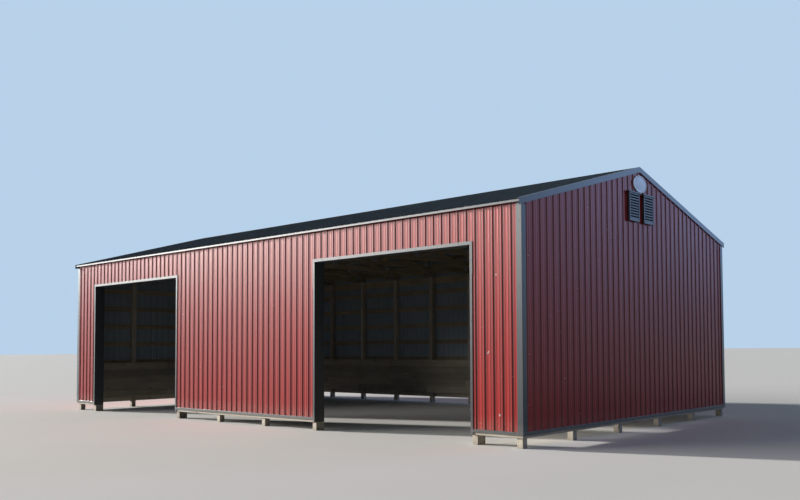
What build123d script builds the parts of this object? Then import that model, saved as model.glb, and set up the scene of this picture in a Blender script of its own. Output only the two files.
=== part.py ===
from build123d import *
import os
from math import atan, cos, floor, sin

# Open-fronted metal barn on timber posts. Millimetres, +Z up.
# The origin lies on the ground under the middle of the building, +X along the ridge.
# The two doorways face -Y and the gable with the louvred vents faces +X.
os.makedirs("parts", exist_ok=True)

# Overall size, measured over the crests of the wall ribs
length = 18516.6
width = 9144
eave_edge_height = 4773
roof_slope = 3.5 / 12
eave_overhang = 83
gable_overhang = 15

# Ribbed steel sheet
rib_pitch = 228.6
rib_height = 19
rib_base = 64
rib_crest = 22
sheet = 1
first_rib = 50
siding_bottom = 315

# Doorways, their heads under the truss carriers
door_width = 4880
right_margin = 1317
left_margin = 1238.6

# Timber
stud = 38
post = 140
door_post_depth = 235
post_spacing = 1828.8
girt_width = 140
first_girt = 955
girt_spacing = 600
skirt_bottom = 200
skirt_width = 235
front_carrier_depth = 457
back_carrier_depth = 235
eave_board_width = 184
front_posts_between_doors = 2

# Lining boards on the inner faces of the posts
lining_bottom = 345
lining_board = 235
lining_courses = 5
lining_groove = 6

# Roof timber
heel_nose = 16
chord_width = 140
web_width = 89
web_clearance = 25
purlin_depth = 140
purlin_spacing = 610
first_purlin = 70
girt_end_clearance = 5

# Bent trims
trim = 1
corner_leg = 135
door_face = 70
door_return = 30
base_face = 65
base_end_gap = 2
eave_reach = 70
eave_face = 52
eave_flange_gap = 2
rake_face = 125
rake_flange = 75
ridge_flange = 180
ridge_hem = 6

# Gable vents and plaque, placed from the ridge down
vent_width = 460
vent_body_height = 655
vent_depth = 55
vent_drop = 1321
vent_gap = 210
vent_stile = 45
vent_bottom_rail = 80
vent_top_rail = 40
vent_slats = 9
slat_thickness = 6
slat_reach = 48
slat_clearance = 8
vent_cap_height = 35
vent_cap_side = 45
vent_cap_depth = 70
plaque_width = 620
plaque_height = 400
plaque_drop = 411
plaque_thickness = 17

# Layers of a wall, from the rib crests inwards
wall_x = length / 2
wall_y = width / 2
sheet_depth = rib_height + sheet
girt_inner = sheet_depth + stud
door_post_inner = girt_inner + door_post_depth

# Levels at the foot of the walls
base_bottom = siding_bottom - base_face
skirt_top = skirt_bottom + skirt_width

# Roof planes, as heights over the middle of the building
roof_angle = atan(roof_slope)
eave_y = wall_y + eave_overhang
ridge_crest = eave_edge_height + eave_y * roof_slope
ridge_under = ridge_crest - sheet_depth / cos(roof_angle)
rafter_top = ridge_under - purlin_depth / cos(roof_angle)
rafter_under = rafter_top - chord_width / cos(roof_angle)
slope_length = eave_y / cos(roof_angle)
heel_under = rafter_under - (wall_y - girt_inner) * roof_slope
vent_bottom = ridge_crest - vent_drop
plaque_middle = ridge_crest - plaque_drop

# Levels under the heels of the trusses
truss_seat = heel_under - heel_nose
chord_top = truss_seat + chord_width
front_carrier_bottom = truss_seat - front_carrier_depth
back_carrier_bottom = truss_seat - back_carrier_depth
door_head = front_carrier_bottom - stud - trim

# Doorway edges, from the left end of the building to the right
left_door = (left_margin - wall_x, left_margin - wall_x + door_width)
right_door = (wall_x - right_margin - door_width, wall_x - right_margin)
doors = (left_door, right_door)
front_walls = (
    (-wall_x, left_door[0]),
    (left_door[1], right_door[0]),
    (right_door[1], wall_x),
)


# Height of a roof plane at a distance from the ridge
def slope_at(ridge_height, distance):
    return ridge_height - abs(distance) * roof_slope


# A sawn board between two opposite corners, added to the open part
def board(low, high):
    middle = tuple((a + b) / 2 for a, b in zip(low, high))
    with Locations(middle):
        Box(high[0] - low[0], high[1] - low[1], high[2] - low[2])


# Section of ribbed sheet in the open sketch, back of the pan on the X axis, crests up
def ribbed_section(run, rib_start, keep=None, hollow_ribs=True):
    count = floor((run - rib_start) / rib_pitch) + 1
    upper = [(-rib_pitch, sheet)]
    for number in range(count):
        centre = rib_start + number * rib_pitch
        upper += [
            (centre - rib_base / 2, sheet),
            (centre - rib_crest / 2, sheet_depth),
            (centre + rib_crest / 2, sheet_depth),
            (centre + rib_base / 2, sheet),
        ]
    upper += [(run + rib_pitch, sheet)]
    under = reversed(upper) if hollow_ribs else (upper[-1], upper[0])
    lower = [(x, y - sheet) for x, y in under]
    Polygon(*upper, *lower, align=None)
    start, end = keep or (0, run)
    with Locations(((start + end) / 2, 0)):
        Rectangle(end - start, 4 * sheet_depth, mode=Mode.INTERSECT)


# Plane whose X runs along a wall and whose Y points out of the wall
def wall_plane(corner, along, outward, level):
    back = Vector(*corner, level) - Vector(*outward, 0) * sheet_depth
    return Plane(origin=back, x_dir=(*along, 0), z_dir=(0, 0, 1))


# Everything above the underside of the roof sheets
with BuildPart() as above_roof:
    with BuildSketch(Plane.YZ.offset(-length)):
        reach = 2 * wall_y
        with BuildLine():
            Polyline(
                (-reach, slope_at(ridge_under, reach)),
                (0, ridge_under),
                (reach, slope_at(ridge_under, reach)),
                (reach, 2 * ridge_under),
                (-reach, 2 * ridge_under),
                close=True,
            )
        make_face()
    extrude(amount=2 * length)

# Ribbed steel siding of the front wall, beside and over the doorways
siding_top = slope_at(ridge_under, wall_y)
front_plane = wall_plane((wall_x, -wall_y), (-1, 0), (0, -1), siding_bottom)
over_door_plane = wall_plane((wall_x, -wall_y), (-1, 0), (0, -1), door_head + trim)
front_sheets = (
    ("front_siding_left", (left_door[0], sheet_depth - wall_x), front_plane),
    ("front_siding_over_left_door", (left_door[1], left_door[0]), over_door_plane),
    ("front_siding_middle", (right_door[0], left_door[1]), front_plane),
    ("front_siding_over_right_door", (right_door[1], right_door[0]), over_door_plane),
    ("front_siding_right", (wall_x - sheet_depth, right_door[1]), front_plane),
)
for name, (start, end), plane in front_sheets:
    with BuildPart() as front_siding:
        with BuildSketch(plane):
            ribbed_section(length, first_rib, keep=(wall_x - start, wall_x - end))
        extrude(amount=siding_top - plane.origin.Z)
    front_siding.part.label = name
    export_step(front_siding.part, f"parts/{name}.step")

# Ribbed steel siding of the back wall
with BuildPart() as back_siding:
    with BuildSketch(wall_plane((-wall_x, wall_y), (1, 0), (0, 1), siding_bottom)):
        ribbed_section(length, first_rib, keep=(sheet_depth, length - sheet_depth))
    extrude(amount=siding_top - siding_bottom)
back_siding.part.label = "back_siding"
export_step(back_siding.part, "parts/back_siding.step")

# Ribbed steel siding of the gables, cut to the roof slopes
gable_walls = (
    ("left_gable_siding", (-wall_x, -wall_y), (0, 1), (-1, 0)),
    ("right_gable_siding", (wall_x, wall_y), (0, -1), (1, 0)),
)
for name, corner, along, outward in gable_walls:
    with BuildPart() as gable_siding:
        with BuildSketch(wall_plane(corner, along, outward, siding_bottom)):
            ribbed_section(width, first_rib, keep=(sheet_depth, width - sheet_depth))
        extrude(amount=ridge_under)
        add(above_roof.part, mode=Mode.SUBTRACT)
    gable_siding.part.label = name
    export_step(gable_siding.part, f"parts/{name}.step")

# Ribbed steel roof sheets, laid from the ridge down to the drip edge. Underneath they are
# one plain plane, which lies on the purlins.
roof_run = length + 2 * gable_overhang - 2 * trim
roof_end = roof_run / 2
roof_sides = (("front", -1), ("back", 1))
for name, side in roof_sides:
    down_slope = Vector(0, side * cos(roof_angle), -sin(roof_angle))
    ridge_corner = Vector(side * roof_end, 0, ridge_under)
    slope_plane = Plane(origin=ridge_corner, x_dir=(-side, 0, 0), z_dir=down_slope)
    with BuildPart() as roof_sheet:
        with BuildSketch(slope_plane):
            ribbed_section(roof_run, gable_overhang - trim, hollow_ribs=False)
        extrude(amount=slope_length)
    roof_sheet.part.label = f"{name}_roof_sheet"
    export_step(roof_sheet.part, f"parts/{name}_roof_sheet.step")

# Ridge cap, bent over the crests of both roof sheets with hemmed edges
cap_reach = ridge_flange * cos(roof_angle)
cap_thickness = trim / cos(roof_angle)
cap_end = wall_x + gable_overhang - rake_flange
with BuildPart() as ridge_cap:
    with BuildSketch(Plane.YZ.offset(-cap_end)):
        with BuildLine():
            Polyline(
                (-cap_reach, slope_at(ridge_crest, cap_reach)),
                (0, ridge_crest),
                (cap_reach, slope_at(ridge_crest, cap_reach)),
                (cap_reach, slope_at(ridge_crest, cap_reach) + ridge_hem),
                (cap_reach - ridge_hem, slope_at(ridge_crest, cap_reach - ridge_hem) + cap_thickness),
                (0, ridge_crest + cap_thickness),
                (ridge_hem - cap_reach, slope_at(ridge_crest, cap_reach - ridge_hem) + cap_thickness),
                (-cap_reach, slope_at(ridge_crest, cap_reach) + ridge_hem),
                close=True,
            )
        make_face()
    extrude(amount=2 * cap_end)
ridge_cap.part.label = "ridge_cap"
export_step(ridge_cap.part, "parts/ridge_cap.step")

# Eave trims: soffit strip, face and a flange under the roof sheet
eave_face_y = wall_y + eave_reach
eave_flange_y = wall_y + eave_flange_gap
eave_bottom = slope_at(ridge_under, eave_face_y) - eave_face
with BuildPart() as eave_trims:
    with BuildSketch(Plane.YZ.offset(-wall_x)):
        with BuildLine():
            Polyline(
                (wall_y, eave_bottom),
                (eave_face_y, eave_bottom),
                (eave_face_y, slope_at(ridge_under, eave_face_y)),
                (eave_flange_y, slope_at(ridge_under, eave_flange_y)),
                (eave_flange_y, slope_at(ridge_under, eave_flange_y) - cap_thickness),
                (eave_face_y - trim, slope_at(ridge_under, eave_face_y - trim) - cap_thickness),
                (eave_face_y - trim, eave_bottom + trim),
                (wall_y, eave_bottom + trim),
                close=True,
            )
        make_face()
    extrude(amount=length)
    mirror(about=Plane.XZ)
eave_trims.part.label = "eave_trims"
export_step(eave_trims.part, "parts/eave_trims.step")

# Rake trims on both gables: flange over the roof crests, face and a return to the siding
rake_bottom = sheet_depth + trim - rake_face
for name, side in roof_sides:
    down_slope = Vector(0, side * cos(roof_angle), -sin(roof_angle))
    above_ridge = Vector(0, 0, ridge_under) - down_slope * rake_face
    rake_plane = Plane(origin=above_ridge, x_dir=(-side, 0, 0), z_dir=down_slope)
    with BuildPart() as rake_trims:
        with BuildSketch(rake_plane):
            face_x = wall_x + gable_overhang
            with BuildLine():
                Polyline(
                    (wall_x, rake_bottom),
                    (face_x, rake_bottom),
                    (face_x, sheet_depth + trim),
                    (face_x - rake_flange, sheet_depth + trim),
                    (face_x - rake_flange, sheet_depth),
                    (face_x - trim, sheet_depth),
                    (face_x - trim, rake_bottom + trim),
                    (wall_x, rake_bottom + trim),
                    close=True,
                )
            make_face()
            mirror(about=Plane.YZ)
        extrude(amount=slope_length + 2 * rake_face)
        with Locations((0, side * eave_y / 2, ridge_crest)):
            Box(2 * length, eave_y, ridge_crest, mode=Mode.INTERSECT)
    rake_trims.part.label = f"{name}_rake_trims"
    export_step(rake_trims.part, f"parts/{name}_rake_trims.step")

# Corner trims: two legs over the outer ribs, the long wall's leg up to the eave soffit
gable_leg_top = slope_at(ridge_under, wall_y + trim) + rake_bottom / cos(roof_angle)
with BuildPart() as corner_trims:
    with BuildSketch(Plane.XY.offset(base_bottom)):
        with BuildLine():
            Polyline(
                (wall_x - corner_leg, wall_y),
                (wall_x, wall_y),
                (wall_x, wall_y - corner_leg),
                (wall_x + trim, wall_y - corner_leg),
                (wall_x + trim, wall_y + trim),
                (wall_x - corner_leg, wall_y + trim),
                close=True,
            )
        make_face()
    extrude(amount=gable_leg_top - base_bottom)
    board((wall_x - corner_leg, wall_y, gable_leg_top), (wall_x, wall_y + trim, eave_bottom))
    mirror(about=Plane.XZ)
    mirror(about=Plane.YZ)
corner_trims.part.label = "corner_trims"
export_step(corner_trims.part, "parts/corner_trims.step")


# Channel under the siding, drawn with its back on the skirt board and its face outwards
def base_channel(back, outward):
    face = back + outward * sheet_depth
    inner = face - outward * trim
    Polygon(
        (back, base_bottom),
        (face, base_bottom),
        (face, siding_bottom),
        (back, siding_bottom),
        (back, siding_bottom - trim),
        (inner, siding_bottom - trim),
        (inner, base_bottom + trim),
        (back, base_bottom + trim),
        align=None,
    )


# Base trims: bent channels that carry the bottom edge of the siding
with BuildPart() as base_trims:
    for start, end in front_walls:
        start = max(start, sheet_depth - wall_x)
        end = min(end, wall_x - sheet_depth)
        with BuildSketch(Plane.YZ.offset(start)):
            base_channel(sheet_depth - wall_y, -1)
        extrude(amount=end - start)
    with BuildSketch(Plane.YZ.offset(sheet_depth - wall_x)):
        base_channel(wall_y - sheet_depth, 1)
    extrude(amount=length - 2 * sheet_depth)
    gable_run = wall_y - sheet_depth - base_end_gap
    with BuildSketch(Plane.XZ.offset(-gable_run)):
        base_channel(wall_x - sheet_depth, 1)
        mirror(about=Plane.YZ)
    extrude(amount=2 * gable_run)
base_trims.part.label = "base_trims"
export_step(base_trims.part, "parts/base_trims.step")

# Jamb trims: a leg on the siding, the reveal over the post and a return inside
with BuildPart() as door_jamb_trims:
    for left_edge, right_edge in doors:
        for edge, toward in ((left_edge, 1), (right_edge, -1)):
            with BuildSketch(Plane.XY.offset(skirt_bottom)):
                with BuildLine():
                    Polyline(
                        (edge - toward * door_face, -wall_y),
                        (edge - toward * door_face, -wall_y - trim),
                        (edge + toward * trim, -wall_y - trim),
                        (edge + toward * trim, door_post_inner + trim - wall_y),
                        (edge - toward * door_return, door_post_inner + trim - wall_y),
                        (edge - toward * door_return, door_post_inner - wall_y),
                        (edge, door_post_inner - wall_y),
                        (edge, -wall_y),
                        close=True,
                    )
                make_face()
            extrude(amount=door_head - skirt_bottom)
door_jamb_trims.part.label = "door_jamb_trims"
export_step(door_jamb_trims.part, "parts/door_jamb_trims.step")

# Head trims: a face strip over the jamb legs, a soffit and a return inside
with BuildPart() as door_head_trims:
    for left_edge, right_edge in doors:
        with BuildSketch(Plane.YZ.offset(left_edge)):
            with BuildLine():
                Polyline(
                    (-wall_y - trim, door_head),
                    (door_post_inner + trim - wall_y, door_head),
                    (door_post_inner + trim - wall_y, door_head + door_return),
                    (door_post_inner - wall_y, door_head + door_return),
                    (door_post_inner - wall_y, door_head + trim),
                    (-wall_y, door_head + trim),
                    (-wall_y, door_head + door_face),
                    (-wall_y - trim, door_head + door_face),
                    close=True,
                )
            make_face()
        extrude(amount=right_edge - left_edge)
        for start, end in ((left_edge - door_face, left_edge), (right_edge, right_edge + door_face)):
            board((start, -wall_y - trim, door_head), (end, -wall_y, door_head + door_face))
door_head_trims.part.label = "door_head_trims"
export_step(door_head_trims.part, "parts/door_head_trims.step")

# Skirt boards of the long walls, stopped at the doorways
girt_x = wall_x - sheet_depth
girt_y = wall_y - sheet_depth
post_x = wall_x - girt_inner
post_y = wall_y - girt_inner
front_runs = [(max(start, -girt_x), min(end, girt_x)) for start, end in front_walls]
with BuildPart() as long_skirt_boards:
    for start, end in front_runs:
        board((start, -girt_y, skirt_bottom), (end, -post_y, skirt_top))
    board((-girt_x, post_y, skirt_bottom), (girt_x, girt_y, skirt_top))
long_skirt_boards.part.label = "long_skirt_boards"
export_step(long_skirt_boards.part, "parts/long_skirt_boards.step")

# Skirt boards of the gables, between those of the long walls
with BuildPart() as gable_skirt_boards:
    board((post_x, -post_y, skirt_bottom), (girt_x, post_y, skirt_top))
    mirror(about=Plane.YZ)
gable_skirt_boards.part.label = "gable_skirt_boards"
export_step(gable_skirt_boards.part, "parts/gable_skirt_boards.step")

# Corner posts
inner_x = post_x - post
inner_y = post_y - post
with BuildPart() as corner_posts:
    board((inner_x, inner_y, 0), (post_x, post_y, truss_seat))
    mirror(about=Plane.XZ)
    mirror(about=Plane.YZ)
corner_posts.part.label = "corner_posts"
export_step(corner_posts.part, "parts/corner_posts.step")

# Door posts, deeper than the rest and notched at the top round the inner carrier
door_post_y = post_y - door_post_depth
with BuildPart() as door_posts:
    for left_edge, right_edge in doors:
        for start in (left_edge - post, right_edge):
            with BuildSketch(Plane.YZ.offset(start)):
                with BuildLine():
                    Polyline(
                        (-post_y, 0),
                        (-door_post_y, 0),
                        (-door_post_y, front_carrier_bottom),
                        (-inner_y, front_carrier_bottom),
                        (-inner_y, truss_seat),
                        (-post_y, truss_seat),
                        close=True,
                    )
                make_face()
            extrude(amount=post)
door_posts.part.label = "door_posts"
export_step(door_posts.part, "parts/door_posts.step")

# Posts in the front wall between the doorways, evenly spaced
between_posts = left_door[1] + post / 2, right_door[0] - post / 2
bay = (between_posts[1] - between_posts[0]) / (front_posts_between_doors + 1)
with BuildPart() as front_posts:
    for number in range(front_posts_between_doors):
        middle = between_posts[0] + (number + 1) * bay
        board((middle - post / 2, -post_y, 0), (middle + post / 2, -inner_y, truss_seat))
front_posts.part.label = "front_posts"
export_step(front_posts.part, "parts/front_posts.step")

# Posts of the back wall, spaced off from the right corner
post_line_count = floor((wall_x + inner_x - post) / post_spacing)
post_lines = [wall_x - (number + 1) * post_spacing for number in range(post_line_count)]
with BuildPart() as back_posts:
    for post_line in post_lines:
        board((post_line - post / 2, inner_y, 0), (post_line + post / 2, post_y, truss_seat))
back_posts.part.label = "back_posts"
export_step(back_posts.part, "parts/back_posts.step")

# Posts of the gables, under the end trusses
gable_post_count = 2 * floor((inner_y - post) / post_spacing + 0.5)
for name, side in (("left", -1), ("right", 1)):
    with BuildPart() as gable_posts:
        with BuildSketch():
            with Locations((side * (post_x + inner_x) / 2, 0)):
                with GridLocations(0, post_spacing, 1, gable_post_count):
                    Rectangle(post, post)
        extrude(amount=truss_seat)
    gable_posts.part.label = f"{name}_gable_posts"
    export_step(gable_posts.part, f"parts/{name}_gable_posts.step")

# Girts on the outer faces of the posts, as high as fits under the carriers
girt_rows = []
row = first_girt
while row + girt_width / 2 < front_carrier_bottom:
    girt_rows.append(row)
    row += girt_spacing
with BuildPart() as front_girts:
    for start, end in front_runs:
        for row in girt_rows:
            board((start, -girt_y, row - girt_width / 2), (end, -post_y, row + girt_width / 2))
front_girts.part.label = "front_girts"
export_step(front_girts.part, "parts/front_girts.step")

with BuildPart() as back_girts:
    for row in girt_rows:
        board((-girt_x, post_y, row - girt_width / 2), (girt_x, girt_y, row + girt_width / 2))
back_girts.part.label = "back_girts"
export_step(back_girts.part, "parts/back_girts.step")

# Girts of the gables go on up to the peak, shortened by the roof slopes
gable_rows = list(girt_rows)
while row + girt_width / 2 < rafter_under:
    gable_rows.append(row)
    row += girt_spacing
for name, side in (("left", -1), ("right", 1)):
    with BuildPart() as gable_girts:
        for row in gable_rows:
            under_roof = (rafter_top - row - girt_width / 2) / roof_slope - girt_end_clearance
            half = min(post_y, under_roof)
            near, far = sorted((side * post_x, side * girt_x))
            board((near, -half, row - girt_width / 2), (far, half, row + girt_width / 2))
    gable_girts.part.label = f"{name}_gable_girts"
    export_step(gable_girts.part, f"parts/{name}_gable_girts.step")


# Stack of lining boards in section, with a groove at each joint on the room side
def lining_section(back, into_room):
    face = back + into_room * stud
    groove = face - into_room * lining_groove
    top = lining_bottom + lining_courses * lining_board
    edge = [(back, lining_bottom), (face, lining_bottom)]
    for course in range(1, lining_courses):
        joint = lining_bottom + course * lining_board
        edge += [(face, joint - lining_groove), (groove, joint), (face, joint + lining_groove)]
    edge += [(face, top), (back, top)]
    Polygon(*edge, align=None)


# Lining of the front wall, between the door posts and the corners
lining_front = -inner_y
front_linings = (
    (-post_x, left_door[0] - post),
    (left_door[1] + post, right_door[0] - post),
    (right_door[1] + post, post_x),
)
with BuildPart() as front_lining:
    for start, end in front_linings:
        with BuildSketch(Plane.YZ.offset(start)):
            lining_section(lining_front, 1)
        extrude(amount=end - start)
front_lining.part.label = "front_lining"
export_step(front_lining.part, "parts/front_lining.step")

with BuildPart() as back_lining:
    with BuildSketch(Plane.YZ.offset(-post_x)):
        lining_section(inner_y, -1)
    extrude(amount=2 * post_x)
back_lining.part.label = "back_lining"
export_step(back_lining.part, "parts/back_lining.step")

# Lining of the gables, between the linings of the long walls
room_y = inner_y - stud
for name, side in (("left", -1), ("right", 1)):
    with BuildPart() as gable_lining:
        with BuildSketch(Plane.XZ.offset(-room_y)):
            lining_section(side * inner_x, -side)
        extrude(amount=2 * room_y)
    gable_lining.part.label = f"{name}_gable_lining"
    export_step(gable_lining.part, f"parts/{name}_gable_lining.step")

# Boards laid flat over the doorways, between the door posts and out to the siding
with BuildPart() as door_head_boards:
    for left_edge, right_edge in doors:
        board(
            (left_edge, -girt_y, door_head + trim),
            (right_edge, -door_post_y, front_carrier_bottom),
        )
door_head_boards.part.label = "door_head_boards"
export_step(door_head_boards.part, "parts/door_head_boards.step")

# Deep carriers on both faces of the front posts, for the trusses over the doorways
with BuildPart() as front_carriers:
    board((-girt_x, -girt_y, front_carrier_bottom), (girt_x, -post_y, truss_seat))
    board((-post_x, -inner_y, front_carrier_bottom), (post_x, -room_y, truss_seat))
front_carriers.part.label = "front_carriers"
export_step(front_carriers.part, "parts/front_carriers.step")

# Carrier on the outer faces of the back posts, under the ends of the trusses
with BuildPart() as back_carriers:
    board((-girt_x, post_y, back_carrier_bottom), (girt_x, girt_y, truss_seat))
back_carriers.part.label = "back_carriers"
export_step(back_carriers.part, "parts/back_carriers.step")

# Truss stations along the building, the end trusses over the gable posts
end_truss = post_x - stud / 2
stations = [end_truss, *post_lines, -end_truss]


# A flat truss member, drawn in the plane of the truss and cut at every station
def truss_member(*corners):
    for station in stations:
        with BuildSketch(Plane.YZ.offset(station - stud / 2)) as member:
            Polygon(*corners, align=None)
        extrude(member.sketch, amount=stud)


# Bottom chords, their ends cut to the slope under the top chords
heel_y = (rafter_under - chord_top) / roof_slope
with BuildPart() as truss_bottom_chords:
    truss_member(
        (-post_y, truss_seat),
        (post_y, truss_seat),
        (post_y, heel_under),
        (heel_y, chord_top),
        (-heel_y, chord_top),
        (-post_y, heel_under),
    )
truss_bottom_chords.part.label = "truss_bottom_chords"
export_step(truss_bottom_chords.part, "parts/truss_bottom_chords.step")

# Top chords lie on the cut ends of the bottom chords and meet at the ridge
for name, side in roof_sides:
    with BuildPart() as top_chords:
        truss_member(
            (side * post_y, heel_under),
            (side * post_y, slope_at(rafter_top, post_y)),
            (0, rafter_top),
            (0, rafter_under),
        )
    top_chords.part.label = f"{name}_top_chords"
    export_step(top_chords.part, f"parts/{name}_top_chords.step")

# Upright webs at the middle and the quarters of the span
half_web = web_width / 2
quarter = post_y / 2
with BuildPart() as truss_uprights:
    truss_member(
        (-half_web, chord_top),
        (half_web, chord_top),
        (half_web, slope_at(rafter_under, half_web)),
        (0, rafter_under),
        (-half_web, slope_at(rafter_under, half_web)),
    )
    for side in (-1, 1):
        truss_member(
            (side * (quarter - half_web), chord_top),
            (side * (quarter + half_web), chord_top),
            (side * (quarter + half_web), slope_at(rafter_under, quarter + half_web)),
            (side * (quarter - half_web), slope_at(rafter_under, quarter - half_web)),
        )
truss_uprights.part.label = "truss_uprights"
export_step(truss_uprights.part, "parts/truss_uprights.step")

# Diagonal webs from the foot of the middle upright to the heads of the outer ones
foot = half_web + web_clearance
head = quarter - half_web - web_clearance
rise = slope_at(rafter_under, head) - chord_top
lean = atan(rise / (head - foot))
foot_width = web_width / sin(lean)
head_width = web_width / sin(lean + roof_angle) * cos(roof_angle)
with BuildPart() as truss_diagonals:
    for side in (-1, 1):
        truss_member(
            (side * foot, chord_top),
            (side * (foot + foot_width), chord_top),
            (side * head, slope_at(rafter_under, head)),
            (side * (head - head_width), slope_at(rafter_under, head - head_width)),
        )
truss_diagonals.part.label = "truss_diagonals"
export_step(truss_diagonals.part, "parts/truss_diagonals.step")

# Purlins on edge across the top chords, from gable to gable
purlin_count = floor((post_y / cos(roof_angle) - first_purlin - stud) / purlin_spacing) + 1
for name, side in roof_sides:
    down_slope = Vector(0, side * cos(roof_angle), -sin(roof_angle))
    seat_plane = Plane(
        origin=Vector(-girt_x, 0, rafter_top),
        x_dir=down_slope,
        z_dir=(1, 0, 0),
    )
    flip = 1 if seat_plane.y_dir.Z > 0 else -1
    with BuildPart() as purlins:
        with BuildSketch(seat_plane):
            for number in range(purlin_count):
                along = first_purlin + number * purlin_spacing
                with Locations((along, flip * purlin_depth / 2)):
                    Rectangle(stud, purlin_depth)
        extrude(amount=2 * girt_x)
    purlins.part.label = f"{name}_purlins"
    export_step(purlins.part, f"parts/{name}_purlins.step")

# Eave boards on the ends of the trusses, their top edges bevelled to the roof
with BuildPart() as eave_boards:
    with BuildSketch(Plane.YZ.offset(-girt_x)):
        with BuildLine():
            Polyline(
                (post_y, slope_at(ridge_under, girt_y) - eave_board_width),
                (girt_y, slope_at(ridge_under, girt_y) - eave_board_width),
                (girt_y, slope_at(ridge_under, girt_y)),
                (post_y, slope_at(ridge_under, post_y)),
                close=True,
            )
        make_face()
    extrude(amount=2 * girt_x)
    mirror(about=Plane.XZ)
eave_boards.part.label = "eave_boards"
export_step(eave_boards.part, "parts/eave_boards.step")

# Louvred vents on the right gable: capped frames with sloped slats
vent_x = wall_x + vent_depth
vent_cap_half = vent_width / 2 + vent_cap_side
opening_width = vent_width - 2 * vent_stile
opening_bottom = vent_bottom + vent_bottom_rail
opening_top = vent_bottom + vent_body_height - vent_top_rail
slat_pitch = (opening_top - opening_bottom) / vent_slats
for name, side in (("front", -1), ("back", 1)):
    vent_middle = side * (vent_gap + vent_width) / 2
    with BuildPart() as vent:
        with BuildSketch(Plane.YZ.offset(wall_x)):
            with Locations((vent_middle, vent_bottom + vent_body_height / 2)):
                Rectangle(vent_width, vent_body_height)
            with Locations((vent_middle, (opening_bottom + opening_top) / 2)):
                Rectangle(opening_width, opening_top - opening_bottom, mode=Mode.SUBTRACT)
        extrude(amount=vent_depth)
        slat_start = vent_middle - opening_width / 2
        with BuildSketch(Plane.XZ.offset(-slat_start)):
            for number in range(vent_slats):
                foot_z = opening_bottom + slat_clearance / 2 + number * slat_pitch
                head_z = foot_z + slat_pitch - slat_clearance
                with BuildLine():
                    Polyline(
                        (vent_x, foot_z),
                        (vent_x, foot_z + slat_thickness),
                        (vent_x - slat_reach, head_z),
                        (vent_x - slat_reach, head_z - slat_thickness),
                        close=True,
                    )
                make_face()
        extrude(amount=-opening_width)
        vent_top = vent_bottom + vent_body_height
        board(
            (wall_x, vent_middle - vent_cap_half, vent_top),
            (wall_x + vent_cap_depth, vent_middle + vent_cap_half, vent_top + vent_cap_height),
        )
    vent.part.label = f"{name}_gable_vent"
    export_step(vent.part, f"parts/{name}_gable_vent.step")

# Plain oval plaque, high on the right gable
with BuildPart() as gable_plaque:
    with BuildSketch(Plane.YZ.offset(wall_x)):
        with Locations((0, plaque_middle)):
            Ellipse(plaque_width / 2, plaque_height / 2)
    extrude(amount=plaque_thickness)
gable_plaque.part.label = "gable_plaque"
export_step(gable_plaque.part, "parts/gable_plaque.step")
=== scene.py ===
import random
from math import atan, ceil, cos, floor, pi, radians, sin

import bmesh
import bpy
from mathutils import Matrix, Vector


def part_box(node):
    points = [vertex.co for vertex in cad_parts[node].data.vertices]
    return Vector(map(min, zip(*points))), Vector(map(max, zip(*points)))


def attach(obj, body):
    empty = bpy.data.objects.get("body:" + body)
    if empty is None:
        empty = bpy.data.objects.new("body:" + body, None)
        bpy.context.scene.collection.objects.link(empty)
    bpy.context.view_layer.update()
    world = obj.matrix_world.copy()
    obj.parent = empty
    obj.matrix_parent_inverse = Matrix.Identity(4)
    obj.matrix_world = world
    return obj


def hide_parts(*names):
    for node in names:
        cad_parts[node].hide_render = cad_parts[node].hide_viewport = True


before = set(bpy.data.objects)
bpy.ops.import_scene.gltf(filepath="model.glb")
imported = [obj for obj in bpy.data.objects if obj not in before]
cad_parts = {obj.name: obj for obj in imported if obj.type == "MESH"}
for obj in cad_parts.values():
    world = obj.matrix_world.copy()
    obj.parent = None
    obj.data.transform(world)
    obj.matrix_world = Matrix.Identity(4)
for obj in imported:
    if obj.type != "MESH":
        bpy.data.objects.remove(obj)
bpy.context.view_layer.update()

# Studio: a plain pale floor that runs out to an even pale sky. A low sun from the far left
# grazes the front wall, three broad glows beside it put a sheen on the coated steel, and a blue
# fill comes from behind on the right. The camera stands sixteen metres off the near corner.
image_width = 800
lens_pixels = 823.5
axis_right = 101.9
axis_down = 64.6
sensor_width = 36.0
camera_place = Vector((18.7483, -16.971, 1.919))
camera_yaw = radians(-38.844)
camera_pitch = radians(2.309)
camera_roll = radians(-0.479)
floor_reach = 600.0
floor_bounce = (0.21, 0.205, 0.20, 1)
floor_grey = (0.85, 0.84, 0.82, 1)
floor_white = (0.90, 0.89, 0.87, 1)
sky_light = 0.07
sky_tint = (0.93, 0.96, 1.0, 1)
sky_backdrop = (0.48, 0.64, 0.82, 1.0)
# The lamps: name, direction it shines from, strength, width in degrees and tint
lamps = (
    ("studio_sun", (-0.93, -0.28, 0.24), 4.6, 3, (1.0, 0.96, 0.90)),
    ("studio_glow_left", (-0.87, -0.46, 0.22), 0.65, 15, (1.0, 0.96, 0.92)),
    ("studio_glow_middle", (-0.74, -0.64, 0.22), 0.65, 15, (1.0, 0.96, 0.92)),
    ("studio_glow_right", (-0.61, -0.77, 0.22), 0.325, 15, (1.0, 0.96, 0.92)),
    ("studio_fill", (0.42, 0.86, 0.28), 0.38, 25, (0.30, 0.50, 1.0)),
)


# Links an output to an input, or gives the input a value
def feed(tree, socket, value):
    if isinstance(value, bpy.types.NodeSocket):
        tree.links.new(value, socket)
    else:
        socket.default_value = value


# One shader node with its settings and its inputs
def node(tree, kind, inputs=None, **settings):
    made = tree.nodes.new(kind)
    for key, value in settings.items():
        setattr(made, key, value)
    for key, value in (inputs or {}).items():
        feed(tree, made.inputs[key], value)
    return made


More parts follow.
